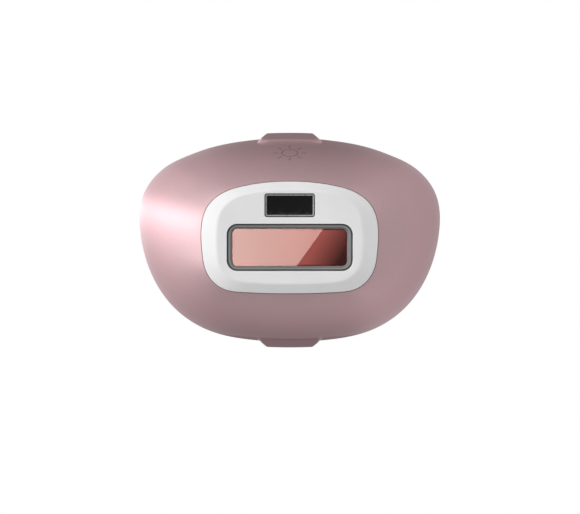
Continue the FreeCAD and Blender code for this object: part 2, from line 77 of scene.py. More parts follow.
# ---- outlines and profile, as half outlines (x, z) from the top centre round to the bottom centre ----
RIM = [(0, 29.2), (10.9, 28.5), (21.7, 26.4), (27.7, 24.2), (31.7, 22.3), (38.9, 14.2), (39.7, 3.4),
       (36.8, -7.1), (30.7, -16.1), (21.5, -22.1), (10.9, -24.5), (0, -25.1)]
LIP = [(0, 17.4), (6.0, 17.15), (11.85, 16.25), (17.35, 14.5), (21.7, 10.7), (23.3, 5.0),
       (23.1, -1.0), (21.8, -6.8), (17.8, -10.8), (12.0, -11.85), (6.0, -12.1), (0, -12.15)]
LIP_DEPTH, SKIRT_DEPTH, SKIRT_SHARE = 26.0, 5.0, 0.955
DOME_START, DOME_END = math.radians(80), math.radians(32)
RIDGE_ZONE = math.radians(16)     # part of the dome, from its start on, that the ridges reach over
SKIRT_ROWS, ZONE_ROWS, DOME_ROWS = 30, 56, 36
OUTLINE_POINTS = 420
CROWDED_SHARE, CROWDING = 0.065, 3.2   # share of the outline beside each ridge with closer points
WALL, SEAM = 1.6, 0.04
RIM_EDGE = 0.25

# Finger ridges: side profile as (depth, z) from the tip forwards, how softly the foot runs into the
# dome, and the height of the bead (or, below 0, the groove) along the crease.
UPPER_RIDGE = [(3.4, 30.5), (8.4, 28.75), (10.2, 27.6)], 0.40, 0.14
LOWER_RIDGE = [(1.0, -26.6), (7.4, -24.15)], 0.08, -0.10
RIDGE_HALF, RIDGE_SLOPE = 5.95, 0.85
RIDGE_FADE, SHELF_FADE = (7.4, 8.7), (5.4, 8.4)   # where a ridge and its front shelf fade out sideways
SHELF_DEPTHS = (7.4, 8.8)  # over which the ridge turns into the shelf, which keeps to the dome's curve
RIDGE_CROWN = 0.0035       # how fast a ridge's tip drops sideways, per mm squared
RIDGE_EDGE, FLANK_EDGE, BEAD_WIDTH = 0.22, 0.25, 0.42
NEAR_HALF, NEAR_HEIGHT, NEAR_DEPTH = 13, 15, 13   # only points this close to a ridge are lifted

# ---- the white contact frame, and the window and sensor in its openings ----------------------------
PLATEAU = [(0, 15.2), (5.0, 15.0), (10.1, 14.35), (14.8, 12.85), (18.2, 9.5), (19.3, 4.6),
           (19.3, -0.5), (18.4, -5.2), (15.1, -8.4), (10.1, -9.4), (5.1, -9.65), (0, -9.7)]
FACE_DEPTH, FACE_REAR, BAND_DEPTH = 29.5, 27.0, 26.8
FRAME_WALL = 1.8
FLANGE_REAR, FLANGE_FRONT, FLANGE_REACH = 21.4, 22.5, 1.4
FRAME_POINTS, BAND_ROWS = 360, 30
BAND_EDGE, FACE_EDGE, HOLE_EDGE = 0.13, 0.13, 0.12   # how softly the band starts, and ends in the face
# openings, rings and glass as (width, height, corner radius)
WINDOW_HOLE, BEZEL = (33.2, 12.4, 2.8), (32.6, 11.8, 2.5)
WINDOW_CLEAR, BEZEL_POCKET = (30.2, 9.8, 1.3), (31.4, 10.9, 1.9)
BEZEL_REAR, GLASS_FACE, BEZEL_FRONT, BEZEL_SLOPE = 25.6, 28.0, 28.9, 0.5
SENSOR_HOLE, SENSOR_RING, SENSOR_LENS = (13.3, 6.25, 0.7), (12.9, 5.85, 0.5), (12.2, 5.1, 0.3)
SENSOR_Z, SENSOR_REAR, LENS_FACE = 11.1, 25.8, 28.6
POSTS = [(21.6, 6.5), (21.0, -5.0), (-21.6, 6.5), (-21.0, -5.0)]
POST_R, POST_END, PAD_R = 1.4, 13.0, 2.4
SPRING_R, WIRE_R, SPRING_SEAT, PRESS = 1.95, 0.17, 16.03, 0.8
SPRING_TURNS, CLOSED_RISE = 4.5, 0.38   # the first and last turn rise less, so the ends are closed


# ---- shape helpers ---------------------------------------------------------------------------------
def ring(half, shares):
    """Points on the smooth closed curve through a half outline, at shares of its length."""
    pts = np.array(half + [(-x, z) for x, z in half[-2:0:-1]], float)
    n = len(pts)
    step = np.linalg.norm(np.roll(pts, -1, 0) - pts, axis=1)
    a, b = np.zeros((n, n)), np.zeros((n, 2))
    for i in range(n):
        h0, h1, j = step[i - 1], step[i], (i + 1) % n
        a[i, i - 1], a[i, i], a[i, j] = h0, 2 * (h0 + h1), h1
        b[i] = 6 * ((pts[j] - pts[i]) / h1 - (pts[i] - pts[i - 1]) / h0)
    bend = np.linalg.solve(a, b)
    dense = []
    for i in range(n):
        h, j = step[i], (i + 1) % n
        t = np.linspace(0, h, 60, endpoint=False)[:, None]
        dense.append((bend[i] * (h - t) ** 3 + bend[j] * t ** 3) / (6 * h)
                     + (pts[i] / h - bend[i] * h / 6) * (h - t) + (pts[j] / h - bend[j] * h / 6) * t)
    dense = np.vstack(dense + [dense[0][:1]])
    run = np.concatenate([[0], np.cumsum(np.linalg.norm(np.diff(dense, axis=0), axis=1))])
    return np.column_stack([np.interp(shares * run[-1], run, dense[:, k]) for k in (0, 1)])


def grown(curve, distance):
    """A closed curve moved outwards, square to itself."""
    along = np.roll(curve, -1, 0) - np.roll(curve, 1, 0)
    out = np.column_stack([-along[:, 1], along[:, 0]])
    out /= np.linalg.norm(out, axis=1)[:, None]
    if (out * (curve - curve.mean(0))).sum() < 0:
        out = -out
    return curve + out * distance


def smooth_max(a, b, k):
    h = np.clip(0.5 + 0.5 * (a - b) / k, 0, 1)
    return b + (a - b) * h + k * h * (1 - h)


def smooth_min(a, b, k):
    return -smooth_max(-a, -b, k)


def level(curve, depth):
    """A closed curve of (x, z) points as (x, depth, z) points at one depth."""
    return np.column_stack([curve[:, 0], np.full(len(curve), depth), curve[:, 1]])


def rounded_loop(size, grow=0.0, z=0.0, arc=14):
    """Closed rounded rectangle; every size has the same number of points."""
    width, height, radius = size
    w, h, r = width / 2 + grow, height / 2 + grow, max(radius + grow, 0.02)
    points = []
    for side_x, side_z, start in ((1, 1, 0), (-1, 1, 90), (-1, -1, 180), (1, -1, 270)):
        for a in np.radians(np.linspace(start, start + 90, arc)):
            points.append((side_x * (w - r) + r * math.cos(a), z + side_z * (h - r) + r * math.sin(a)))
    return np.array(points)


def rounding(inset, depth, radius, steps=5):
    """(inset, depth) pairs round a convex front edge, from the side wall over to the face."""
    angles = np.linspace(0, math.pi / 2, steps)
    return [(inset + radius * (1 - math.cos(a)), depth - radius * (1 - math.sin(a))) for a in angles]


class Surface:
    """A closed mesh built from loops of (x, depth, z) points, strips between them and flat fills."""

    def __init__(self, name):
        self.name, self.bm = name, bmesh.new()

    def loop(self, points):
        verts = [self.bm.verts.new((x * MM, -depth * MM, z * MM)) for x, depth, z in points]
        for a, b in zip(verts, verts[1:] + verts[:1]):
            self.bm.edges.new((a, b))
        return verts

    def strip(self, a, b):
        for i in range(len(a)):
            j = (i + 1) % len(a)
            self.bm.faces.new((a[i], a[j], b[j], b[i]))

    def skin(self, rows, closed=False):
        """Strips through rows of points; returns the first and the last loop."""
        loops = [self.loop(row) for row in rows]
        for a, b in zip(loops, loops[1:] + loops[:1] if closed else loops[1:]):
            self.strip(a, b)
        return loops[0], loops[-1]

    def fill(self, *loops):
        """Flat triangles between an outer loop and any holes in it."""
        edges = [self.bm.edges.get((a, b)) for verts in loops for a, b in zip(verts, verts[1:] + verts[:1])]
        bmesh.ops.triangle_fill(self.bm, use_beauty=True, use_dissolve=False, edges=edges)

    def done(self, body, slot, replaces=None):
        bmesh.ops.recalc_face_normals(self.bm, faces=self.bm.faces)
        mesh = bpy.data.meshes.new(self.name)
        self.bm.to_mesh(mesh)
        self.bm.free()
        for p in mesh.polygons:
            p.use_smooth = True
        mesh.set_sharp_from_angle(angle=SHARP)
        obj = bpy.data.objects.new(self.name, mesh)
        bpy.context.scene.collection.objects.link(obj)
        obj.modifiers.new("weighted", "WEIGHTED_NORMAL").keep_sharp = True
        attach(obj, body)
        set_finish(obj, slot)
        if replaces:
            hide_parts(replaces)
        return obj


# ---- the rose shell --------------------------------------------------------------------------------
def spread_shares():
    """Shares of the outline's length, closer together at the two finger ridges."""
    def density(s):
        near = min(abs(s - round(s)), abs(s - 0.5))
        return 1.0 if near > CROWDED_SHARE else CROWDING
    s = np.linspace(0, 1, 4001)
    total = np.concatenate([[0], np.cumsum([density(v) for v in (s[1:] + s[:-1]) / 2])])
    return np.interp(np.arange(OUTLINE_POINTS) / OUTLINE_POINTS, total / total[-1], s)


def ridge_height(x, depth, sign, profile, bead):
    """Height of a finger ridge over (x, depth), measured outwards in Z."""
    x, tip = np.abs(x), abs(profile[0][1])
    height = np.full_like(x, tip)
    for (d0, z0), (d1, z1) in zip(profile, profile[1:]):
        height = smooth_min(height, sign * (z0 + (depth - d0) * (z1 - z0) / (d1 - d0)), RIDGE_EDGE)
    height = height - RIDGE_CROWN * x * x + bead * np.exp(-((depth - profile[1][0]) / BEAD_WIDTH) ** 2)
    return smooth_min(height, tip - (x - RIDGE_HALF) * RIDGE_SLOPE, FLANK_EDGE)


def faded(x, limits):
    """1 in the middle, falling smoothly to 0 between two half widths."""
    share = np.clip((limits[1] - np.abs(x)) / (limits[1] - limits[0]), 0, 1)
    return share * share * (3 - 2 * share)


def dome_rows(rim, lip):
    """Rows of points on the outer surface without its ridges, from the rim up to the lip."""
    def section(share, depth):
        return level(lip + (rim - lip) * share, depth)

    rows = []
    for depth in np.linspace(RIM_EDGE, SKIRT_DEPTH, SKIRT_ROWS, endpoint=False):
        t = depth / SKIRT_DEPTH
        rows.append(section(1 + (SKIRT_SHARE - 1) * (0.5 * t + 0.5 * t * t), depth))
    sin0, sin1 = math.sin(DOME_START), math.sin(DOME_END)
    cos0, cos1 = math.cos(DOME_START), math.cos(DOME_END)
    past_ridges = DOME_START - RIDGE_ZONE
    slopes = np.concatenate([np.linspace(DOME_START, past_ridges, ZONE_ROWS, endpoint=False),
                             np.linspace(past_ridges, DOME_END, DOME_ROWS)])
    for slope in slopes:
        share = SKIRT_SHARE * (math.sin(slope) - sin1) / (sin0 - sin1)
        climb = (LIP_DEPTH - SKIRT_DEPTH) * (math.cos(slope) - cos0) / (cos1 - cos0)
        rows.append(section(share, SKIRT_DEPTH + climb))
    return np.array(rows)


def outward(rows):
    """Unit normals of a grid of rows, pointing out of the shell."""
    along = np.gradient(rows, axis=0)
    around = np.roll(rows, -1, 1) - np.roll(rows, 1, 1)
    normal = np.cross(along, around)
    normal /= np.linalg.norm(normal, axis=2)[:, :, None]
    return normal if normal[SKIRT_ROWS, 0, 2] > 0 else -normal


def raise_ridges(rows):
    """Lift the points of the outer surface onto the two finger ridges."""
    for row in rows:
        for sign, (profile, foot, bead) in ((1, UPPER_RIDGE), (-1, LOWER_RIDGE)):
            height = sign * row[:, 2]
            raised = smooth_max(height, ridge_height(row[:, 0], row[:, 1], sign, profile, bead), foot)
            ridge = height + (raised - height) * faded(row[:, 0], RIDGE_FADE)
            middle = np.argmin(np.abs(row[:, 0]) + 100 * (height < 0))
            shelf = height + (raised - height)[middle] * faded(row[:, 0], SHELF_FADE)
            raised = ridge + (shelf - ridge) * np.interp(row[0, 1], SHELF_DEPTHS, (0, 1))
            near = (np.abs(row[:, 0]) < NEAR_HALF) & (height > NEAR_HEIGHT) & (row[:, 1] < NEAR_DEPTH)
            row[:, 2] = np.where(near, sign * raised, row[:, 2])


def shell():
    shares = spread_shares()
    rim, lip = ring(RIM, shares), ring(LIP, shares)
    base = dome_rows(rim, lip)
    outer = base[:-2].copy()
    raise_ridges(outer)

    lip_rows = [level(grown(lip, out), depth)
                for out, depth in ((0.20, 25.84), (0.12, 25.82), (0.06, 25.76), (0.03, 25.66),
                                   (SEAM / 2, 25.5), (SEAM / 2, 24.2))]
    inner = (base - outward(base) * WALL)[:-3][::-3]
    inner = inner[inner[:, :, 1].mean(1) > RIM_EDGE + 0.05]
    inner[:, :, 1] = np.maximum(inner[:, :, 1], RIM_EDGE)
    foot_in = inner[-1].copy()
    foot_in[:, 1] = 0.0
    rim_rows = []
    for share, depth in ((0.04, 0.07), (0.12, 0.0), (0.88, 0.0), (0.96, 0.07)):
        row = foot_in + (outer[0] - foot_in) * share
        row[:, 1] = depth
        rim_rows.append(row)
    surface = Surface("shell_skin")
    surface.skin(list(outer) + lip_rows + list(inner) + rim_rows, closed=True)
    surface.done("head", "shell_paint", "outer_shell")


# ---- contact frame, window and sensor --------------------------------------------------------------
def contact_frame():
    """White frame: flange, skirt, sloping band running softly into the flat face, and its two openings."""
    shares = np.arange(FRAME_POINTS) / FRAME_POINTS
    edge, plateau = grown(ring(LIP, shares), -SEAM / 2), ring(PLATEAU, shares)
    flange = grown(edge, FLANGE_REACH)
    rows = [level(grown(flange, -0.15), FLANGE_REAR), level(flange, FLANGE_REAR + 0.15),
            level(flange, FLANGE_FRONT - 0.15), level(grown(flange, -0.15), FLANGE_FRONT),
            level(grown(edge, 0.1), FLANGE_FRONT), level(edge, FLANGE_FRONT + 0.1)]
    rows += [level(grown(edge, -inset), depth) for inset, depth in rounding(0.0, BAND_DEPTH, BAND_EDGE)[:4]]
    rise = FACE_DEPTH - BAND_DEPTH
    for share in np.linspace(0.045, 1.14, BAND_ROWS):
        height = float(smooth_min(np.float64(0.03 + 0.97 * share), np.float64(1.0), FACE_EDGE))
        rows.append(level(edge + (plateau - edge) * share, BAND_DEPTH + rise * height))
    surface = Surface("contact_frame_skin")
    rear, front = surface.skin(rows)
    holes = []
    for size, z in ((WINDOW_HOLE, 0.0), (SENSOR_HOLE, SENSOR_Z)):
        profile = rounding(0.0, FACE_DEPTH, HOLE_EDGE)[::-1] + [(0.0, FACE_REAR)]
        holes.append(surface.skin([level(rounded_loop(size, inset, z), depth) for inset, depth in profile]))
    surface.fill(front, *[hole[0] for hole in holes])
    inner_wall = grown(edge, -FRAME_WALL)
    inner_front, inner_rear = surface.skin([level(inner_wall, FACE_REAR),
                                            level(inner_wall, FLANGE_REAR + 0.2),
                                            level(grown(inner_wall, 0.2), FLANGE_REAR)])
    surface.fill(inner_front, *[hole[1] for hole in holes])
    surface.strip(inner_rear, rear)
    surface.done("pressed_frame", "frame_white", "contact_frame")


def guide_posts():
    """Pads and posts on the back of the contact frame, with rounded ends."""
    surface = Surface("guide_posts")
    turns = np.linspace(0, 2 * math.pi, 40, endpoint=False)
    circle = np.column_stack([np.cos(turns), np.sin(turns)])
    top = FLANGE_FRONT - 0.05
    profile = [(POST_R - 0.3, POST_END), (POST_R - 0.09, POST_END + 0.09), (POST_R, POST_END + 0.3),
               (POST_R, FLANGE_REAR - 0.15), (POST_R + 0.15, FLANGE_REAR), (PAD_R - 0.1, FLANGE_REAR),
               (PAD_R, FLANGE_REAR + 0.1), (PAD_R, top - 0.1), (PAD_R - 0.1, top)]
    for x, z in POSTS:
        ends = surface.skin([level(circle * r + (x, z), depth) for r, depth in profile])
        for end in ends:
            surface.fill(end)
    surface.done("pressed_frame", "frame_white")


def springs():
    """Four coils with closed ends, built at one length; the real coils shorten when the contact frame is
    pressed.
    """
    surface = Surface("spring_coils")
    front = FLANGE_REAR - 0.03
    rise = front - SPRING_SEAT - 2 * WIRE_R
    marks, rises = (0, 1, SPRING_TURNS - 1, SPRING_TURNS), (0, CLOSED_RISE, rise - CLOSED_RISE, rise)
    wire = np.linspace(0, 2 * math.pi, 10, endpoint=False)
    for px, pz in POSTS:
        rows = []
        for t in np.linspace(0, SPRING_TURNS, 130):
            depth = SPRING_SEAT + WIRE_R + np.interp(t, marks, rises) + WIRE_R * np.sin(wire)
            r, a = SPRING_R + WIRE_R * np.cos(wire), 2 * math.pi * t
            rows.append(np.column_stack([px + r * math.cos(a), depth, pz + r * math.sin(a)]))
        for end in surface.skin(rows):
            surface.fill(end)
    coils = surface.done("head", "spring_steel", "frame_springs")
    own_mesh(coils)


def window_bezel():
    rows = [level(rounded_loop(BEZEL, -inset), depth)
            for inset, depth in [(0.0, BEZEL_REAR + 0.1)] + rounding(0.0, BEZEL_FRONT, 0.26)]
    for grow, depth in ((BEZEL_SLOPE + 0.14, BEZEL_FRONT), (BEZEL_SLOPE + 0.06, BEZEL_FRONT - 0.02),
                        (BEZEL_SLOPE, BEZEL_FRONT - 0.07), (0.0, GLASS_FACE)):
        rows.append(level(rounded_loop(WINDOW_CLEAR, grow), depth))
    rows += [level(rounded_loop(BEZEL_POCKET), depth) for depth in (GLASS_FACE, BEZEL_REAR)]
    rows.append(level(rounded_loop(BEZEL, -0.1), BEZEL_REAR))
    surface = Surface("bezel_ring")
    surface.skin(rows, closed=True)
    surface.done("head", "bezel_metal", "window_bezel")


def sensor_window():
    surface = Surface("sensor_ring")
    rows = [level(rounded_loop(SENSOR_RING, -inset, SENSOR_Z), depth)
            for inset, depth in [(0.0, SENSOR_REAR)] + rounding(0.0, BEZEL_FRONT, 0.14)]
    rows += [level(rounded_loop(SENSOR_LENS, inset, SENSOR_Z), depth)
             for inset, depth in rounding(0.0, BEZEL_FRONT, 0.08)[::-1] + [(0.0, SENSOR_REAR)]]
    surface.skin(rows, closed=True)
    surface.done("head", "sensor_ring", "sensor_bezel")
    surface = Surface("sensor_glass")
    rows = [level(rounded_loop(SENSOR_LENS, -0.02 - inset, SENSOR_Z), depth)
            for inset, depth in [(0.0, SENSOR_REAR)] + rounding(0.0, LENS_FACE, 0.12)]
    for end in surface.skin(rows):
        surface.fill(end)
    surface.done("head", "sensor_black", "sensor_lens")


# ---- materials -------------------------------------------------------------------------------------
# Light symbol on the shell in millimetres: height of its middle, how much flatter it is than wide,
# radius and half line of its circle, and number, middle, half length and half line of its rays.
SYMBOL_Z, SYMBOL_SQUASH, SYMBOL_STRENGTH = 25.0, 0.45, 0.68
CIRCLE_R, CIRCLE_LINE = 2.1, 0.16
RAYS, RAY_MIDDLE, RAY_REACH, RAY_LINE = 8, 3.7, 0.75, 0.17
# strength of the painted shade on the lower ridge
RIDGE_SHADE = 0.70


class Graph:
    """A node tree, with short ways to add nodes."""

    def __init__(self, tree):
        self.tree = tree
        self.tree.nodes.clear()

    def add(self, kind, **settings):
        node = self.tree.nodes.new(kind)
        for key, value in settings.items():
            setattr(node, key, value)
        return node

    def link(self, a, b):
        self.tree.links.new(a, b)

    def math(self, operation, a, b=0.0, c=0.0):
        node = self.add("ShaderNodeMath", operation=operation)
        for socket, value in zip(node.inputs, (a, b, c)):
            if isinstance(value, (int, float)):
                socket.default_value = value
            else:
                self.link(value, socket)
        return node.outputs[0]

    def between(self, value, low, high, start=0.35, end=0.65, soft=False):
        node = self.add("ShaderNodeMapRange", interpolation_type="SMOOTHSTEP" if soft else "LINEAR")
        self.link(value, node.inputs["Value"])
        for key, number in (("From Min", start), ("From Max", end), ("To Min", low), ("To Max", high)):
            node.inputs[key].default_value = number
        return node.outputs[0]

    def parts(self, vector):
        node = self.add("ShaderNodeSeparateXYZ")
        self.link(vector, node.inputs[0])
        return node.outputs

    def mix(self, factor, a, b):
        node = self.add("ShaderNodeMix", data_type="RGBA")
        sockets = [s for s in node.inputs if s.type == "RGBA"]
        self.link(factor, node.inputs[0])
        for socket, value in zip(sockets, (a, b)):
            if isinstance(value, tuple):
                socket.default_value = (*value, 1)
            else:
                self.link(value, socket)
        return [s for s in node.outputs if s.type == "RGBA"][0]


class Nodes(Graph):
    """A material with a principled shader."""

    def __init__(self, name):
        self.material = bpy.data.materials.new(name)
        self.material.use_nodes = True
        super().__init__(self.material.node_tree)
        self.out = self.add("ShaderNodeOutputMaterial")
        self.shader = self.add("ShaderNodeBsdfPrincipled")
        self.link(self.shader.outputs[0], self.out.inputs[0])
        self.where = self.add("ShaderNodeTexCoord").outputs["Object"]

    def noise(self, scale, detail=3.0, stretch=(1, 1, 1)):
        mapping = self.add("ShaderNodeMapping")
        mapping.inputs["Scale"].default_value = stretch
        self.link(self.where, mapping.inputs["Vector"])
        node = self.add("ShaderNodeTexNoise")
        node.inputs["Scale"].default_value = scale
        node.inputs["Detail"].default_value = detail
        self.link(mapping.outputs[0], node.inputs["Vector"])
        return node.outputs["Fac"]

    def set(self, **values):
        for key, value in values.items():
            socket = self.shader.inputs[key.replace("_", " ")]
            if isinstance(value, (int, float)):
                socket.default_value = value
            elif isinstance(value, tuple):
                socket.default_value = (*value, 1) if len(value) == 3 else value
            else:
                self.link(value, socket)

    def bump(self, height, strength, distance):
        node = self.add("ShaderNodeBump")
        node.inputs["Strength"].default_value = strength
        node.inputs["Distance"].default_value = distance
        self.link(height, node.inputs["Height"])
        self.link(node.outputs[0], self.shader.inputs["Normal"])


def plain(name, dark, light, rough, metallic=0.0, grain=900.0, relief=0.15, stretch=(1, 1, 1), **more):
    """A finish whose colour, roughness and surface vary a little."""
    m = Nodes(name)
    cloud = m.noise(90.0, 4.0, stretch)
    fine = m.noise(grain, 2.0, stretch)
    m.set(Base_Color=m.mix(m.between(cloud, 0.0, 1.0), dark, light),
          Roughness=m.between(fine, rough[0], rough[1]), Metallic=metallic, **more)
    m.bump(fine, relief, 0.00004)
    return m.material


def light_symbol(m, x, z):
    """1 on a generic light symbol marked above the frame, a ring and short rays; 0 elsewhere."""
    u = m.math("MULTIPLY", x, 1 / MM)
    v = m.math("MULTIPLY", m.math("SUBTRACT", z, SYMBOL_Z * MM), 1 / MM / SYMBOL_SQUASH)
    r = m.math("SQRT", m.math("ADD", m.math("MULTIPLY", u, u), m.math("MULTIPLY", v, v)))
    circle = m.math("LESS_THAN", m.math("ABSOLUTE", m.math("SUBTRACT", r, CIRCLE_R)), CIRCLE_LINE)
    turn = m.math("MULTIPLY", m.math("ARCTAN2", v, u), RAYS / (2 * math.pi))
    from_ray = m.math("SUBTRACT", m.math("FRACT", m.math("ADD", turn, RAYS + 0.5)), 0.5)
    off = m.math("MULTIPLY", m.math("ABSOLUTE", from_ray), m.math("MULTIPLY", r, 2 * math.pi / RAYS))
    along = m.math("ABSOLUTE", m.math("SUBTRACT", r, RAY_MIDDLE))
    ray = m.math("MULTIPLY", m.math("LESS_THAN", off, RAY_LINE), m.math("LESS_THAN", along, RAY_REACH))
    return m.math("MAXIMUM", circle, ray)


def shell_material():
    m = Nodes("rose_metallic_paint")
    flake = m.noise(5200.0, 1.0)
    cloud = m.noise(45.0, 3.0)
    paint = m.mix(m.between(flake, 0.0, 1.0), (0.485, 0.324, 0.342), (0.545, 0.371, 0.390))
    paint = m.mix(m.between(cloud, 0.0, 0.3), paint, (0.47, 0.325, 0.340))
    # painted shade: the lower ridge is darkened, most along its crease, where the ridge lies in shade
    x, _, z = m.parts(m.where)
    arch = m.math("MULTIPLY_ADD", m.math("MULTIPLY", x, x), -RIDGE_CROWN / MM, z)
    ridge_shade = m.math("MULTIPLY", m.between(arch, 1.0, 0.0, -0.0243, -0.0240),
                  m.between(arch, 0.7, 1.0, -0.0250, -0.0245))
    paint = m.mix(m.math("MULTIPLY", ridge_shade, RIDGE_SHADE), paint, (0.28, 0.165, 0.18))
    mark = light_symbol(m, x, z)
    rough = m.math("ADD", m.between(flake, 0.33, 0.40), m.math("MULTIPLY", mark, 0.12))
    m.set(Base_Color=m.mix(m.math("MULTIPLY", mark, SYMBOL_STRENGTH), paint, (0.17, 0.10, 0.115)),
          Roughness=rough, Metallic=0.85, Coat_Weight=0.08, Coat_Roughness=0.25)
    m.bump(flake, 0.05, 0.00003)
    return m.material


def glass_material():
    m = Nodes("red_filter_glass")
    cloud = m.noise(60.0, 2.0)
    m.set(Base_Color=m.mix(m.between(cloud, 0.0, 1.0), (0.36, 0.085, 0.072), (0.39, 0.095, 0.08)),
          Roughness=m.between(cloud, 0.0, 0.012), Transmission_Weight=1.0, IOR=1.5)
    return m.material


def mirror_material():
    m = Nodes("polished_aluminium")
    lines = m.noise(700.0, 2.0, (1, 1, 18))
    m.set(Base_Color=m.mix(m.between(lines, 0.0, 1.0), (0.86, 0.86, 0.87), (0.93, 0.93, 0.93)),
          Roughness=m.between(lines, 0.08, 0.16), Metallic=1.0)
    m.bump(lines, 0.05, 0.00002)
    return m.material


def board_material():
    m = Nodes("green_circuit_board")
    weave = m.noise(2600.0, 1.0, (1, 1, 0.2))
    cloud = m.noise(120.0, 3.0)
    base = m.mix(m.between(cloud, 0.0, 1.0), (0.010, 0.085, 0.040), (0.016, 0.12, 0.058))
    m.set(Base_Color=base, Roughness=m.between(weave, 0.28, 0.42))
    m.bump(weave, 0.15, 0.00003)
    return m.material


FINISHES = {
    "shell_paint": shell_material(),
    "frame_white": plain("satin_white", (0.715, 0.715, 0.72), (0.75, 0.75, 0.75), (0.34, 0.44), relief=0.05),
    "bezel_metal": plain("anodised_grey", (0.196, 0.201, 0.204), (0.228, 0.232, 0.232), (0.44, 0.54), 0.15,
                         grain=1500.0, relief=0.02),
    "filter_glass": glass_material(),
    "soft_silicone": plain("grey_silicone", (0.030, 0.030, 0.032), (0.045, 0.045, 0.048), (0.6, 0.75)),
    "sensor_ring": plain("sensor_ring_grey", (0.34, 0.345, 0.35), (0.42, 0.422, 0.426), (0.25, 0.34), 0.8,
                         grain=1500.0, relief=0.01),
    "sensor_black": plain("sensor_black", (0.004, 0.004, 0.0042), (0.006, 0.006, 0.0062), (0.02, 0.04),
                          relief=0.001),
    "light_guide": plain("clear_acrylic", (0.55, 0.60, 0.62), (0.66, 0.70, 0.72), (0.05, 0.12), relief=0.02,
                         Transmission_Weight=0.6, IOR=1.49),
    "holder_plastic": plain("cream_moulding", (0.56, 0.53, 0.45), (0.64, 0.61, 0.53), (0.45, 0.6)),
    "mirror_sheet": mirror_material(),
    "chassis_plastic": plain("dark_moulding", (0.018, 0.018, 0.020), (0.028, 0.028, 0.030), (0.45, 0.6)),
    "cover_plastic": plain("textured_cover", (0.022, 0.022, 0.024), (0.036, 0.036, 0.039), (0.5, 0.68),
                           grain=2200.0, relief=0.5),
    "bush_plastic": plain("acetal", (0.52, 0.48, 0.36), (0.60, 0.56, 0.44), (0.35, 0.5)),
    "spring_steel": plain("spring_steel", (0.44, 0.44, 0.45), (0.53, 0.53, 0.54), (0.24, 0.36), 1.0,
                          relief=0.02, stretch=(12, 12, 1)),
    "circuit_board": board_material(),
    "switch_case": plain("switch_case", (0.015, 0.015, 0.017), (0.024, 0.024, 0.026), (0.4, 0.55)),
    "switch_plunger": plain("switch_plunger", (0.30, 0.14, 0.05), (0.36, 0.17, 0.07), (0.35, 0.5)),
    "chip_black": plain("chip_black", (0.010, 0.010, 0.010), (0.018, 0.018, 0.018), (0.5, 0.65),
                        grain=2600.0),
    "contact_housing": plain("contact_housing", (0.012, 0.012, 0.013), (0.02, 0.02, 0.022), (0.4, 0.55)),
    "contact_gold": plain("contact_gold", (0.66, 0.40, 0.11), (0.78, 0.50, 0.17), (0.16, 0.28), 1.0),
    "fastener_steel": plain("zinc_plated_steel", (0.40, 0.41, 0.43), (0.48, 0.48, 0.50), (0.24, 0.36), 1.0,
                            relief=0.03),
}

shell()
contact_frame()
guide_posts()
springs()
window_bezel()
sensor_window()

for part in frame["record"]["subparts"]:
    node = frame["nodes"][part["node"]]
    node.data.materials.clear()
    node.data.materials.append(FINISHES[part["material_slot"]])
for piece in list(bpy.data.objects):
    if piece.type == "MESH" and piece.get("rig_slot"):
        piece.data.materials.clear()
        piece.data.materials.append(FINISHES[piece["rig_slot"]])


# ---- stage, lights and camera ----------------------------------------------------------------------
FLOOR_R, FLOOR_Z = 2.5, -0.14
ROOM, LEFT, STREAK, SOFTBOX = 0.60, 0.74, 2.45, 1.7   # strengths of the room's light and of its lamps
SOFTBOX_AIM = (-0.23, -0.788, 0.571)                  # towards the softbox: in front, above, a little left
TILT = 0.46                                           # how much brighter the room is above than below
CAMERA_DISTANCE, CAMERA_FIELD, CAMERA_X, CAMERA_Z = 3.0, 0.1544, 0.00007, -0.00253


def staged(name, verts, faces, material):
    """A stage piece: floor or card, not part of the object."""
    mesh = bpy.data.meshes.new(name)
    mesh.from_pydata(verts, [], faces)
    mesh.materials.append(material)
    obj = bpy.data.objects.new(name, mesh)
    bpy.context.scene.collection.objects.link(obj)
    return obj


def emitter(name, strength, colour=(1, 1, 1)):
    """Emissive material; strength is a number, or a function that adds nodes and returns a socket."""
    material = bpy.data.materials.new(name)
    material.use_nodes = True
    g = Graph(material.node_tree)
    glow = g.add("ShaderNodeEmission")
    glow.inputs["Color"].default_value = (*colour, 1)
    if callable(strength):
        g.link(strength(g), glow.inputs["Strength"])
    else:
        glow.inputs["Strength"].default_value = strength
    g.link(glow.outputs[0], g.add("ShaderNodeOutputMaterial").inputs[0])
    return material


def pale_floor():
    turns = np.linspace(0, 2 * math.pi, 48, endpoint=False)
    verts = [(FLOOR_R * math.cos(a), FLOOR_R * math.sin(a), FLOOR_Z) for a in turns]
    floor = staged("pale_floor", verts, [tuple(range(48))], emitter("pale_floor_white", 1.0))
    floor.visible_diffuse = floor.visible_glossy = floor.visible_transmission = False


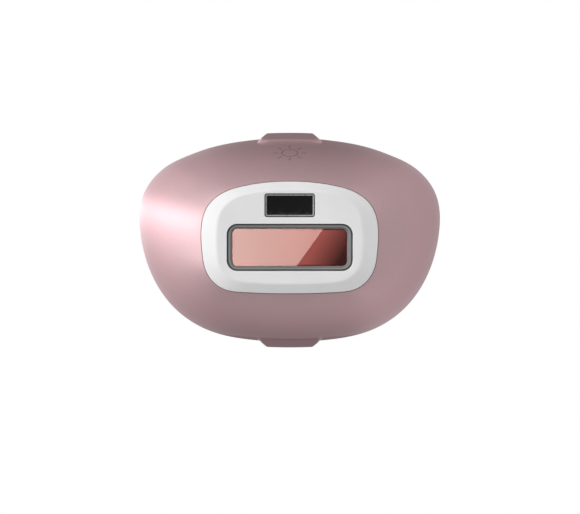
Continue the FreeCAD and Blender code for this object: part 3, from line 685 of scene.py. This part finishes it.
def studio():
    """Soft studio all round the head: an even room, darker overhead and behind, lit from the left."""
    world = bpy.data.worlds.new("soft_studio")
    world.use_nodes = True
    bpy.context.scene.world = world
    g = Graph(world.node_tree)
    x, y, z = g.parts(g.add("ShaderNodeTexCoord").outputs["Generated"])
    radius = g.math("SQRT", g.math("MAXIMUM", g.math("SUBTRACT", 1.0, g.math("MULTIPLY", y, y)), 0.0001))
    side, up = g.math("DIVIDE", x, radius), g.math("DIVIDE", z, radius)
    front = g.math("MULTIPLY", y, -1.0)

    def lobe(clock, power, strength):
        """Light from one clock direction seen along Y: 0 at the right, 90 above, 180 at the left."""
        a = math.radians(clock)
        toward = g.math("ADD", g.math("MULTIPLY", side, math.cos(a)), g.math("MULTIPLY", up, math.sin(a)))
        return g.math("MULTIPLY", g.math("POWER", g.math("MAXIMUM", toward, 0.0), power), strength)

    below = g.between(up, 0.08, 0.0, -1.0, -0.4)
    room = g.math("ADD", g.math("ADD", ROOM, below), g.between(side, 0.0, 0.18, 0.05, 0.45, soft=True))
    streak = g.math("MULTIPLY", lobe(173, 60.0, STREAK), g.between(front, 0.80, 1.16, -0.85, 0.25))
    around = g.math("ADD", room, g.math("ADD", lobe(160, 2.0, LEFT), streak))
    behind = g.between(front, 0.24, 0.0, -0.85, -0.30)
    overhead = g.math("MULTIPLY", g.math("POWER", g.math("MAXIMUM", up, 0.0), 16.0),
                      g.between(front, 0.50, 0.0, -0.6, 0.45))
    beneath = g.math("MULTIPLY", g.math("POWER", g.math("MAXIMUM", g.math("MULTIPLY", up, -1.0), 0.0), 16.0),
                     g.between(front, 0.33, 0.0, -0.7, 0.05))
    shade = g.math("ADD", behind, g.math("ADD", overhead, beneath))
    around = g.math("MULTIPLY", around, g.math("SUBTRACT", 1.0, shade))
    # the middle of the room ahead, with the camera's dark place in it
    ahead = g.between(front, 0.0, 1.0, 0.6, 0.95, soft=True)
    ahead_light = g.between(front, 0.66, 0.15, 0.990, 0.9986)
    studio_light = g.math("ADD", g.math("MULTIPLY", around, g.math("SUBTRACT", 1.0, ahead)),
                          g.math("MULTIPLY", ahead, ahead_light))
    aim_x, aim_y, aim_z = (g.math("MULTIPLY", axis, share) for axis, share in zip((x, y, z), SOFTBOX_AIM))
    toward = g.math("ADD", aim_x, g.math("ADD", aim_y, aim_z))
    softbox = g.math("MULTIPLY", g.math("POWER", g.math("MAXIMUM", toward, 0.0), 24.0), SOFTBOX)
    tilt = g.math("MULTIPLY_ADD", g.math("MULTIPLY", z, g.between(front, 0.0, 1.0, 0.2, 0.7)), TILT, 1.0)
    studio_light = g.math("ADD", g.math("MULTIPLY", studio_light, tilt), softbox)
    # what the camera sees behind the head is plain white
    camera_ray = g.add("ShaderNodeLightPath").outputs["Is Camera Ray"]
    unseen = g.math("SUBTRACT", 1.0, camera_ray)
    level_seen = g.math("ADD", g.math("MULTIPLY", studio_light, unseen), camera_ray)
    sky = g.add("ShaderNodeBackground")
    warmth = g.math("MULTIPLY", g.between(front, 1.0, 0.0, -0.5, 0.0), unseen)
    g.link(g.mix(warmth, (1.0, 1.0, 1.0), (1.09, 0.98, 1.0)), sky.inputs["Color"])
    g.link(level_seen, sky.inputs["Strength"])
    g.link(sky.outputs[0], g.add("ShaderNodeOutputWorld").inputs[0])


def window_cards():
    """Cards that only the filter glass shows: one mirrored in it, with a slanted edge, one lit behind it."""
    near, far, half = -0.4, 0.02, 0.007

    def mirrored(g):
        return g.between(g.parts(g.add("ShaderNodeTexCoord").outputs["Object"])[0], 8.9, 5.6, -0.016, 0.008)

    def lamp(g):
        x, _, z = g.parts(g.add("ShaderNodeTexCoord").outputs["Object"])
        across = g.math("SUBTRACT", g.math("MULTIPLY", z, 0.6), x)
        fade = g.between(across, 0.10, 1.27, -0.0155, -0.0030)
        return g.math("MINIMUM", fade, g.between(x, 0.72, 0.93, -0.012, 0.003))

    def quad(name, y, corners, material):
        return staged(name, [(x, y, z) for x, z in corners], [(0, 1, 2, 3)], material)

    slant = [(0.0007, -half), (0.0108, half)]
    bright = quad("bright_card", near, [(-0.022, -half), *slant, (-0.022, half)],
                  emitter("bright_card_glow", mirrored, (1.0, 0.985, 0.90)))
    lit = quad("lamp_card", far, [(-0.02, -0.008), (0.02, -0.008), (0.02, 0.008), (-0.02, 0.008)],
               emitter("lamp_card_glow", lamp))
    for card in (bright, lit):
        card.visible_camera = card.visible_diffuse = False
    lit.visible_glossy = False


def camera():
    data = bpy.data.cameras.new("photo_camera")
    data.sensor_width = 36.0
    data.lens = data.sensor_width * CAMERA_DISTANCE / CAMERA_FIELD
    data.clip_start, data.clip_end = 0.05, 20.0
    obj = bpy.data.objects.new("photo_camera", data)
    bpy.context.scene.collection.objects.link(obj)
    obj.location = (CAMERA_X, -CAMERA_DISTANCE, CAMERA_Z)
    obj.rotation_euler = (math.pi / 2, 0, 0)
    bpy.context.scene.camera = obj


pale_floor()
studio()
window_cards()
camera()
bpy.context.scene.view_settings.view_transform = "Standard"
